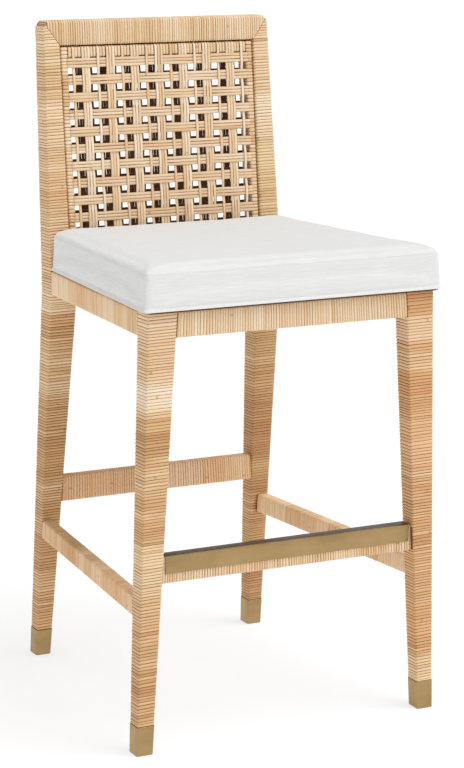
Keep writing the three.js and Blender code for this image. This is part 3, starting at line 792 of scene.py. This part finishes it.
def weave_layer(name, front, seed):
    rng = np.random.default_rng(seed)
    face = front_of if front else back_of
    outward = -1 if front else 1  # along Y
    middle = lambda z: face(z) - outward * MIDDLE
    swing = 0.82 * MM
    made = Strands()
    top_low, top_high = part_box("panel_rail_top_wrap")
    bottom_low, bottom_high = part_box("panel_rail_bottom_wrap")
    crossing = [(row_edges[r] + TRIPLE / 2, n) for n, r in enumerate(rows_from_top)]

    def upright_offset(z, column):
        """How far in front of the layer's middle an upright strand is at a height."""
        knots = [(zc, swing if is_over(n, column) else -swing) for zc, n in crossing]
        knots.sort()
        zs, vs = np.array([k[0] for k in knots]), np.array([k[1] for k in knots])
        flat = TRIPLE / 2 + 0.4 * MM
        stations = np.concatenate([[a - flat, a + flat] for a in zs])
        values = np.repeat(vs, 2)
        return np.interp(z, stations, values)

    for c, (x, width) in enumerate(columns):
        count = 3 if c % 2 else 1
        for k in range(count):
            own = x + (k - (count - 1) / 2) * (TRIPLE / 3)
            z = np.linspace(bottom_high.z + 3 * MM, top_low.z - 3 * MM, 150)
            y = middle(z) + outward * softened(upright_offset(z, c))
            xs = own + 0.16 * MM * drift(rng, len(z), 9)
            raised = 1.15 * MM - THICK / 2  # over the rails, in front of their own winding
            bend = 3.2 * MM  # the radius of the turn round a rail's far edge

            def over_rail(z_near, z_far, up):
                """From the opening over the face of a rail and round its far edge."""
                zz = np.linspace(z_near, z_far - up * bend, 5)
                line = [(own, face(v) + outward * raised, v) for v in zz]
                normals = [(0, outward, 0)] * len(zz)
                for angle in (30, 60, 90):
                    a = math.radians(angle)
                    r = bend + raised - 0.2 * MM
                    y_turned = face(z_far) - outward * bend + outward * r * math.cos(a) * 0.9
                    line.append((own, y_turned, z_far - up * bend + up * r * math.sin(a) * 0.75))
                    normals.append((0, outward * math.cos(a), up * math.sin(a)))
                line.append((own, face(z_far) - outward * (bend + 6 * MM), line[-1][2]))
                normals.append((0, 0, up))
                return line, normals

            top, top_n = over_rail(top_low.z + 1.2 * MM, top_high.z, 1)
            low, low_n = over_rail(bottom_high.z - 1.2 * MM, bottom_low.z, -1)
            line = low[::-1] + list(zip(xs, y, z)) + top
            normals = low_n[::-1] + [(0, outward, 0)] * len(z) + top_n
            lay(made, line, normals, WOVEN_WIDTH, THICK, rng, run=rng.uniform(0, 30))

    for n, r in enumerate(rows_from_top):
        for k in range(3):
            z = row_edges[r] + (k + 0.5) * TRIPLE / 3
            x = np.linspace(-open_half + 2 * MM, open_half - 2 * MM, 190)
            knots = []
            for c, (xc, width) in enumerate(columns):
                value = -swing if is_over(n, c) else swing
                knots += [(xc - width / 2 - 0.3 * MM, value), (xc + width / 2 + 0.3 * MM, value)]
            offset = softened(np.interp(x, [p[0] for p in knots], [p[1] for p in knots]))
            lift = np.clip((np.abs(x) - (open_half - 6 * MM)) / (4 * MM), 0, 1)
            on_stile = MIDDLE - THICK / 2 + 0.25 * MM
            offset = offset * (1 - lift) + on_stile * lift
            zz = z + 0.12 * MM * drift(rng, len(x), 12)
            y = middle(z) + outward * offset + lean * (zz - z)
            ends = [(side * (open_half + 3 * MM), middle(z) + outward * on_stile, z) for side in (-1, 1)]
            line = [ends[0]] + list(zip(x, y, zz)) + [ends[1]]
            normals = [(0, outward, 0)] * len(line)
            lay(made, line, normals, WOVEN_WIDTH, THICK, rng, run=rng.uniform(0, 30))
    return made.piece(name + "_rattan", RATTAN)


shown(weave_layer("weave_front", True, 600), "rattan", "weave_front")
shown(weave_layer("weave_back", False, 601), "rattan", "weave_back")


# ---- brass -----------------------------------------------------------------------------------
def loft_rings(name, rings, material, loop=False):
    """A closed skin through rings of equal length, capped at both ends or joined in a loop."""
    rings = np.asarray(rings)
    stations, around = rings.shape[:2]
    index = np.arange(stations * around).reshape(stations, around)
    a, b = index[:-1], index[1:]
    quads = np.stack([a, np.roll(a, -1, 1), np.roll(b, -1, 1), b], 2).reshape(-1, 4).tolist()
    if loop:
        a, b = index[-1], index[0]
        quads += np.stack([a, np.roll(a, -1), np.roll(b, -1), b], 1).tolist()
    else:
        quads += [index[0][::-1].tolist(), index[-1].tolist()]
    piece = make_mesh(name, rings.reshape(-1, 3).tolist(), quads, {}, material)
    bm = bmesh.new()
    bm.from_mesh(piece.data)
    bmesh.ops.recalc_face_normals(bm, faces=bm.faces)
    bm.to_mesh(piece.data)
    bm.free()
    return piece


def ring_at(outlined, z, inset, radius, per_corner=7):
    at, lows, highs = outlined
    low = [np.interp(z, at, lows[:, k]) + inset for k in (X, Y)]
    high = [np.interp(z, at, highs[:, k]) - inset for k in (X, Y)]
    r = max(radius - inset, 0.4 * MM)
    signs, path = rounded_path(per_corner, 3)
    points = []
    for k0, k1, share, ca, sa in path:
        spots = []
        for k in (k0, k1):
            sx, sy = signs[k]
            corner = (high[0] if sx > 0 else low[0], high[1] if sy > 0 else low[1])
            spots.append((corner[0] - sx * r, corner[1] - sy * r))
        x = spots[0][0] + (spots[1][0] - spots[0][0]) * share + r * ca
        y = spots[0][1] + (spots[1][1] - spots[0][1]) * share + r * sa
        points.append((x, y, z))
    return points


FERRULE_RADIUS = 4.2 * MM
for word in [f"{end}_{side}" for end in ("front", "back") for side in SIDES]:
    node = word + "_ferrule"
    shape = outline(node, Z, step=2 * MM)
    low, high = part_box(node)
    wall = 1.3 * MM
    # Height and inset of each ring: up the outside, over the eased top edge and down the inside.
    steps = [
        (low.z, wall), (low.z, 0.9 * MM), (low.z + 0.25 * MM, 0.35 * MM), (low.z + 0.9 * MM, 0.0),
        (low.z + 3 * MM, 0.0), ((low.z + high.z) / 2, 0.0), (high.z - 2 * MM, 0.0),
        (high.z - 0.7 * MM, 0.02 * MM), (high.z - 0.2 * MM, 0.22 * MM), (high.z, 0.55 * MM),
        (high.z, wall), (high.z - 4 * MM, wall), (low.z + 4 * MM, wall),
    ]
    rings = [ring_at(shape, z, inset, FERRULE_RADIUS) for z, inset in steps]
    piece = loft_rings(node + "_brass", rings, BRASS, loop=True)
    shown(piece, "brass", node)

# The cap over the stretcher: a channel with rounded shoulders, its ends eased.
low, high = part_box("footrest_plate")
wall, fillet = 1.5 * MM, 1.7 * MM
arc = [math.radians(a) for a in (0, 18, 36, 54, 72, 90)]
half = (high.y - low.y) / 2
mid_y = (high.y + low.y) / 2
profile = [(half - wall, low.z), (half - 0.3 * MM, low.z), (half, low.z + 0.3 * MM)]
profile += [(half, high.z - 12 * MM)]
profile += [(half - fillet + fillet * math.cos(a), high.z - fillet + fillet * math.sin(a)) for a in arc]
profile += [(0, high.z)]
profile = profile + [(-y, z) for y, z in reversed(profile[:-1])]
inner = [(half - wall, high.z - wall - 0.4 * MM), (half - wall - 0.4 * MM, high.z - wall)]
profile += [(-y, z) for y, z in inner] + list(reversed(inner))
EASED = [(0, 0.35), (0.12, 0.12), (0.4, 0.0), (30, 0.0)]  # mm in from an end, and how much it is drawn in
stations = [(low.x + into * MM, ease) for into, ease in EASED] + [(0, 0.0)]
stations += [(high.x - into * MM, ease) for into, ease in reversed(EASED)]
rings = []
for x, ease in stations:
    ring = []
    for k, (y, z) in enumerate(profile):
        on_side = k < len(profile) - len(inner) * 2 and abs(y) > half - wall - 0.1 * MM
        shrink = ease * MM if on_side or z > high.z - 0.5 * MM else 0.0
        drop = shrink if z > high.z - 2 * MM else 0
        ring.append((x, mid_y + y - math.copysign(min(shrink, abs(y)), y), z - drop))
    rings.append(ring)
piece = loft_rings("footrest_cap_brass", rings, BRASS)
piece.modifiers.new("triangles", "TRIANGULATE")
# Painted shade on its top and the upper part of its shoulders, which also takes away their highlight.
piece.data.materials.append(TOP_SHADE_BRASS)
for face in piece.data.polygons:
    face.material_index = 1 if face.normal.z > 0.45 else 0
shown(piece, "brass", "footrest_plate")


# ---- seat cushion ----------------------------------------------------------------------------
cover_low, cover_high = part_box("seat_cover")
cover_sections = outline("seat_cover", Y, step=4 * MM)


def half_width_at(y):
    at, lows, highs = cover_sections
    return np.interp(y, at[3:-3], highs[3:-3, X])


def seat_ring(inset, z, corner, narrower=0.0, n_side=24, n_corner=8):
    """The seat's outline in plan, drawn in by an inset, at a height above the frame."""
    y0, y1 = cover_low.y + inset, cover_high.y - inset
    slope = (half_width_at(y1 - 20 * MM) - half_width_at(y0 + 20 * MM)) / (y1 - y0 - 40 * MM)
    wide = lambda y: half_width_at((y0 + y1) / 2) + slope * (y - (y0 + y1) / 2) - inset - narrower
    plan = [(-wide(y0), y0), (wide(y0), y0), (wide(y1), y1), (-wide(y1), y1)]
    points = []
    for i, (cx, cy) in enumerate(plan):
        here = np.array((cx, cy))
        before, after = np.array(plan[i - 1]), np.array(plan[(i + 1) % 4])
        enter = here + (before - here) / np.linalg.norm(before - here) * corner
        leave = here + (after - here) / np.linalg.norm(after - here) * corner
        for k in range(n_corner + 1):
            t = k / n_corner
            points.append((1 - t) ** 2 * enter + 2 * t * (1 - t) * here + t * t * leave)
        nxt = np.array(plan[(i + 1) % 4])
        far = nxt - (nxt - here) / np.linalg.norm(nxt - here) * corner
        for k in range(1, n_side):
            points.append(leave + (far - leave) * k / n_side)
    return [(p[0], p[1], z + fall_at(p[1])) for p in points]


SEAT_FALL = 0.0105  # the seat falls towards the back, height per depth
fall_at = lambda y: -SEAT_FALL * (y - cover_low.y)
rail_line = cover_low.z + SEAT_FALL * (cover_high.y - cover_low.y)
# The dark lip below is painted shade under the cushion's edge.
UNDER = 2.8 * MM  # the cushion stands this much above the rails, on a dark lip
BOX_HEIGHT = cover_high.z - rail_line  # at the front

# The cushion starts a little slack and is blown up against its own cover.
start = [
    (0.3, UNDER), (0.0, UNDER + 3 * MM), (0.2, BOX_HEIGHT * 0.4), (0.5, BOX_HEIGHT - 14 * MM),
    (0.8, BOX_HEIGHT - 8 * MM), (2.2, BOX_HEIGHT - 4.2 * MM), (5.0, BOX_HEIGHT - 1.8 * MM),
    (11, BOX_HEIGHT - 0.4 * MM),
]
rings = [seat_ring(inset * MM, rail_line + z, 6.5 * MM) for inset, z in start]
cushion = loft_rings("seat_cushion_cover", rings, LINEN)


def baked(piece):
    """Turns a piece's modifiers into its mesh."""
    made = bpy.data.meshes.new_from_object(piece.evaluated_get(bpy.context.evaluated_depsgraph_get()))
    piece.modifiers.clear()
    piece.data = made


def remeshed(piece, size):
    step = piece.modifiers.new("remesh", "REMESH")
    step.mode, step.voxel_size, step.use_smooth_shade = "VOXEL", size, True
    ease = piece.modifiers.new("ease", "SMOOTH")
    ease.factor, ease.iterations = 0.5, 1
    baked(piece)


MOST_BULGE, MOST_CROWN = 1.6 * MM, 6 * MM
remeshed(cushion, 5 * MM)
before = coordinates(cushion.data)
held = cushion.vertex_groups.new(name="held")
base = rail_line + fall_at(before[:, Y])
for index in np.flatnonzero(before[:, Z] < base + UNDER + 5 * MM):
    held.add([int(index)], 1.0, "REPLACE")
blown = cushion.modifiers.new("blown", "CLOTH")
settings = blown.settings
settings.quality, settings.mass = 5, 0.3
settings.tension_stiffness = settings.compression_stiffness = 25
settings.shear_stiffness, settings.bending_stiffness = 10, 2
settings.use_pressure, settings.uniform_pressure_force = True, 4
settings.effector_weights.gravity = 0
settings.vertex_group_mass = "held"
blown.point_cache.frame_start, blown.point_cache.frame_end = 1, 20
for frame_number in range(blown.point_cache.frame_start, blown.point_cache.frame_end + 1):
    bpy.context.scene.frame_set(frame_number)
baked(cushion)
bpy.context.scene.frame_set(1)
moved = coordinates(cushion.data) - before
# The cover limits it: a crown on top, hardly any bulge at the sides.
moved[:, :2] = MOST_BULGE * np.tanh(moved[:, :2] / MOST_BULGE)
moved[:, Z] = MOST_CROWN * np.tanh(np.clip(moved[:, Z], 0, None) / MOST_CROWN)
cushion.data.vertices.foreach_set("co", (before + moved).ravel())
finer = cushion.modifiers.new("finer", "SUBSURF")
finer.levels = finer.render_levels = 1
baked(cushion)


def clothed(piece, seam_height=None):
    """Gives each face corner its place in the cloth, which runs up the sides or lies flat on top, and
    its distance from the seam."""
    mesh = piece.data
    normals = np.empty(len(mesh.polygons) * 3)
    mesh.polygons.foreach_get("normal", normals)
    normals = normals.reshape(-1, 3)
    sizes = np.empty(len(mesh.polygons), int)
    mesh.polygons.foreach_get("loop_total", sizes)
    corners = np.empty(len(mesh.loops), int)
    mesh.loops.foreach_get("vertex_index", corners)
    p = coordinates(mesh)[corners]
    n = np.repeat(normals, sizes, 0)
    on_top = np.abs(n[:, Z]) > 0.72
    facing_x = ~on_top & (np.abs(n[:, X]) > np.abs(n[:, Y]))
    u = np.where(facing_x, p[:, Y], p[:, X])
    v = np.where(on_top, p[:, Y] - cover_low.y + cover_high.z, p[:, Z])
    part = np.where(facing_x, np.where(n[:, X] > 0, 4.5, 3.0), 0.0)
    put_attribute(mesh, "cloth", "CORNER", np.stack([u, v, part], 1))
    away = np.full(len(p), 1.0) if seam_height is None else p[:, Z] - seam_height - fall_at(p[:, Y])
    put_attribute(mesh, "seam", "CORNER", np.stack([away, 0 * away, 0 * away], 1))
    mesh.polygons.foreach_set("use_smooth", [True] * len(mesh.polygons))
    mesh.materials.clear()
    mesh.materials.append(LINEN)


clothed(cushion, rail_line + BOX_HEIGHT - 9 * MM)
shown(cushion, "seat_fabric", "seat_cover", "seat_foam")

# The flared edge band that is sewn along the bottom of the boxing: mm out and up round its section.
WELT = [
    (-1.5, 0.1), (1.9, 0.0), (2.6, 0.35), (2.75, 0.9), (2.3, 1.6), (1.3, 2.9), (0.5, 4.6), (-0.1, 6.4),
    (-1.5, 7.0),
]
rng = np.random.default_rng(700)
count = len(seat_ring(0, 0, 10 * MM))
waver = 0.22 * MM * drift(rng, count, 40)
rings = []
for out, up in WELT:
    ring = np.array(seat_ring(-out * MM, rail_line + UNDER + up * MM, (10 + out) * MM))
    plain = np.array(seat_ring(-(out + 1) * MM, 0, (11 + out) * MM))
    away = plain[:, :2] - ring[:, :2]
    away /= np.linalg.norm(away, axis=1)[:, None]
    ring[:, :2] += away * (waver * (out > 0.5))[:, None]
    rings.append(ring)
welt = loft_rings("seat_welt_band", rings, LINEN, loop=True)
clothed(welt)
shown(welt, "seat_fabric", "seat_welt")

# The dark lip between the cushion and the rails, a strip that paints the shade under the cushion's edge: mm
# in and up round its section.
SHADE_LIP = [(14, 0.35), (0.5, 0.35), (0.2, 0.6), (0.2, 2.5), (0.5, 2.7), (14, 2.7)]
rings = [seat_ring(inset * MM, rail_line + up * MM, 6 * MM, 7.5 * MM) for inset, up in SHADE_LIP]
shade_lip = loft_rings("seat_painted_shade_lip", rings, SHADE_STRIP_CLOTH, loop=True)
shown(shade_lip, "dust_cloth")

# ---- dust cover under the seat -----------------------------------------------------------------
under = coordinates(nodes["dust_cover"].data)
centre = under[:, :2].mean(0)
order = np.argsort(np.arctan2(*(under[:, :2] - centre).T[::-1]))
hull = under[order]
dust_low, dust_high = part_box("dust_cover")


def rim_at(angle):
    """The dust cover's outline seen from its middle: where a ray crosses its straight edges."""
    ray = np.array([math.cos(angle), math.sin(angle)])
    best = 0.0
    for a, b in zip(hull[:, :2] - centre, np.roll(hull[:, :2] - centre, -1, 0)):
        along = b - a
        across = ray[0] * along[1] - ray[1] * along[0]
        if abs(across) < 1e-12:
            continue
        t = (a[0] * along[1] - a[1] * along[0]) / across
        share = (a[0] * ray[1] - a[1] * ray[0]) / across
        if t > 0 and -1e-6 <= share <= 1 + 1e-6:
            best = max(best, t)
    return ray * best


spokes = 144
rim = np.array([rim_at(2 * math.pi * k / spokes) for k in range(spokes)])
rng = np.random.default_rng(800)
pucker = drift(rng, spokes, 60)
SAG, PUCKER, HALF_SHEET = 3.0 * MM, 0.25 * MM, 0.25 * MM
rings = []
for surface in (-HALF_SHEET, HALF_SHEET):
    shares = np.linspace(0.02, 1.0, 16)
    for share in shares if surface < 0 else shares[::-1]:
        x, y = (centre + rim * share).T
        sag = SAG * (1 - share**2) ** 2 + PUCKER * share**6 * pucker
        z = dust_high.z - 0.75 * MM - SEAT_FALL * (y - dust_low.y) - sag + surface
        rings.append(np.stack([x, y, z], 1))
dust = loft_rings("dust_cover_cambric", rings, CAMBRIC)
shown(dust, "dust_cloth", "dust_cover")

# ---- CAD nodes that stay ---------------------------------------------------------------------
KEPT = {
    "seat_deck": PLYWOOD, "dust_cover": CAMBRIC, "corner_block": HARDWOOD, "seat_screw": STEEL,
    "glide": NYLON, "panel_spacer": DARK_WOOD, "seat_foam": FOAM,
}
for name, node in nodes.items():
    finish = next((m for key, m in KEPT.items() if key in name), HARDWOOD)
    node.data.materials.clear()
    node.data.materials.append(finish)

# ---- floor, light and camera -----------------------------------------------------------------
GLOW = 0.7  # lifts the floor to the photograph's white and keeps its shadows faint
s = Shader("studio_floor", roughness=0.9, specular=0.0)
tint = s.spread(s.noise(s.place(), scale=0.8, detail=2), 0.3, 0.7)
s.put(s.mix(tint, (0.998, 0.998, 1.0), (1.0, 1.0, 1.0)), s.bsdf.inputs["Emission Color"])
s.bsdf.inputs["Emission Strength"].default_value = GLOW
floor_material = s.finish(s.mix(tint, (0.335, 0.335, 0.335), (0.34, 0.34, 0.34)))
reach = 60
corners = [(-reach, -reach, 0), (reach, -reach, 0), (reach, reach, 0), (-reach, reach, 0)]
floor = make_mesh("studio_floor", corners, [[0, 1, 2, 3]], {}, floor_material)

world = bpy.data.worlds.new("studio")
world.use_nodes = True
world.node_tree.nodes["Background"].inputs["Color"].default_value = (1, 1, 1, 1)
world.node_tree.nodes["Background"].inputs["Strength"].default_value = 0.65
bpy.context.scene.world = world


def aim(item, location, target):
    item.location = location
    item.rotation_euler = (Vector(target) - Vector(location)).to_track_quat("-Z", "Y").to_euler()


sun = bpy.data.lights.new("key", "SUN")
sun.energy, sun.angle = 1.45, math.radians(40)
sun_object = bpy.data.objects.new("key", sun)
aim(sun_object, (1.3, -1.45, 3.6), (0, 0, 0.4))
bpy.context.scene.collection.objects.link(sun_object)

camera_data = bpy.data.cameras.new("camera")
camera_data.sensor_width, camera_data.lens = 36, 114.2
camera = bpy.data.objects.new("camera", camera_data)
camera.location = (-1.7099, -3.5494, 1.3441)
camera.rotation_euler = (math.radians(78.135), 0, math.radians(-26.133))
bpy.context.scene.collection.objects.link(camera)
bpy.context.scene.camera = camera
bpy.context.scene.view_settings.view_transform = "Standard"

bpy.context.view_layer.update()
